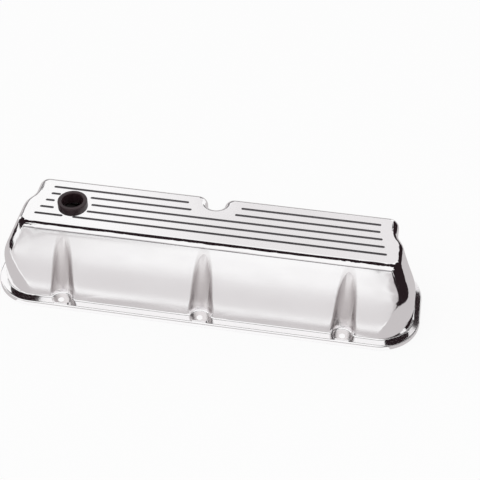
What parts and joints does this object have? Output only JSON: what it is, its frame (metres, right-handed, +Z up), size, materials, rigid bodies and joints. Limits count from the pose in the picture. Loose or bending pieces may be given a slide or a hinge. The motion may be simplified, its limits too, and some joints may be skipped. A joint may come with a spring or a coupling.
{
  "type": "engine valve cover",
  "caption": "Cast and polished valve cover for one bank of a V engine, with ball-milled grooves, leaning bolt flutes and a rubber breather grommet.",
  "frame": {"origin": "middle of the flange's bottom face, which seats on the cylinder head's gasket; also the bounding box's bottom centre", "axes": "+X along the cover with the breather grommet on the -X side, -Y towards the exhaust side with three bolts, +Y towards the intake side with the notch, +Z up to the grooved deck"},
  "size_m": [0.478, 0.127, 0.0932],
  "materials": {
    "polished_aluminium": "polished casting",
    "rubber": "moulded black rubber, satin",
    "sheet_aluminium": "mill-finish sheet",
    "zinc_steel": "zinc-plated steel"
  },
  "bodies": {
    "root": {"cover": "polished_aluminium", "breather_grommet": "rubber", "oil_baffle": "sheet_aluminium", "baffle_screw_1": "zinc_steel", "baffle_screw_2": "zinc_steel", "baffle_screw_3": "zinc_steel", "baffle_screw_4": "zinc_steel"}
  },
  "joints": []
}
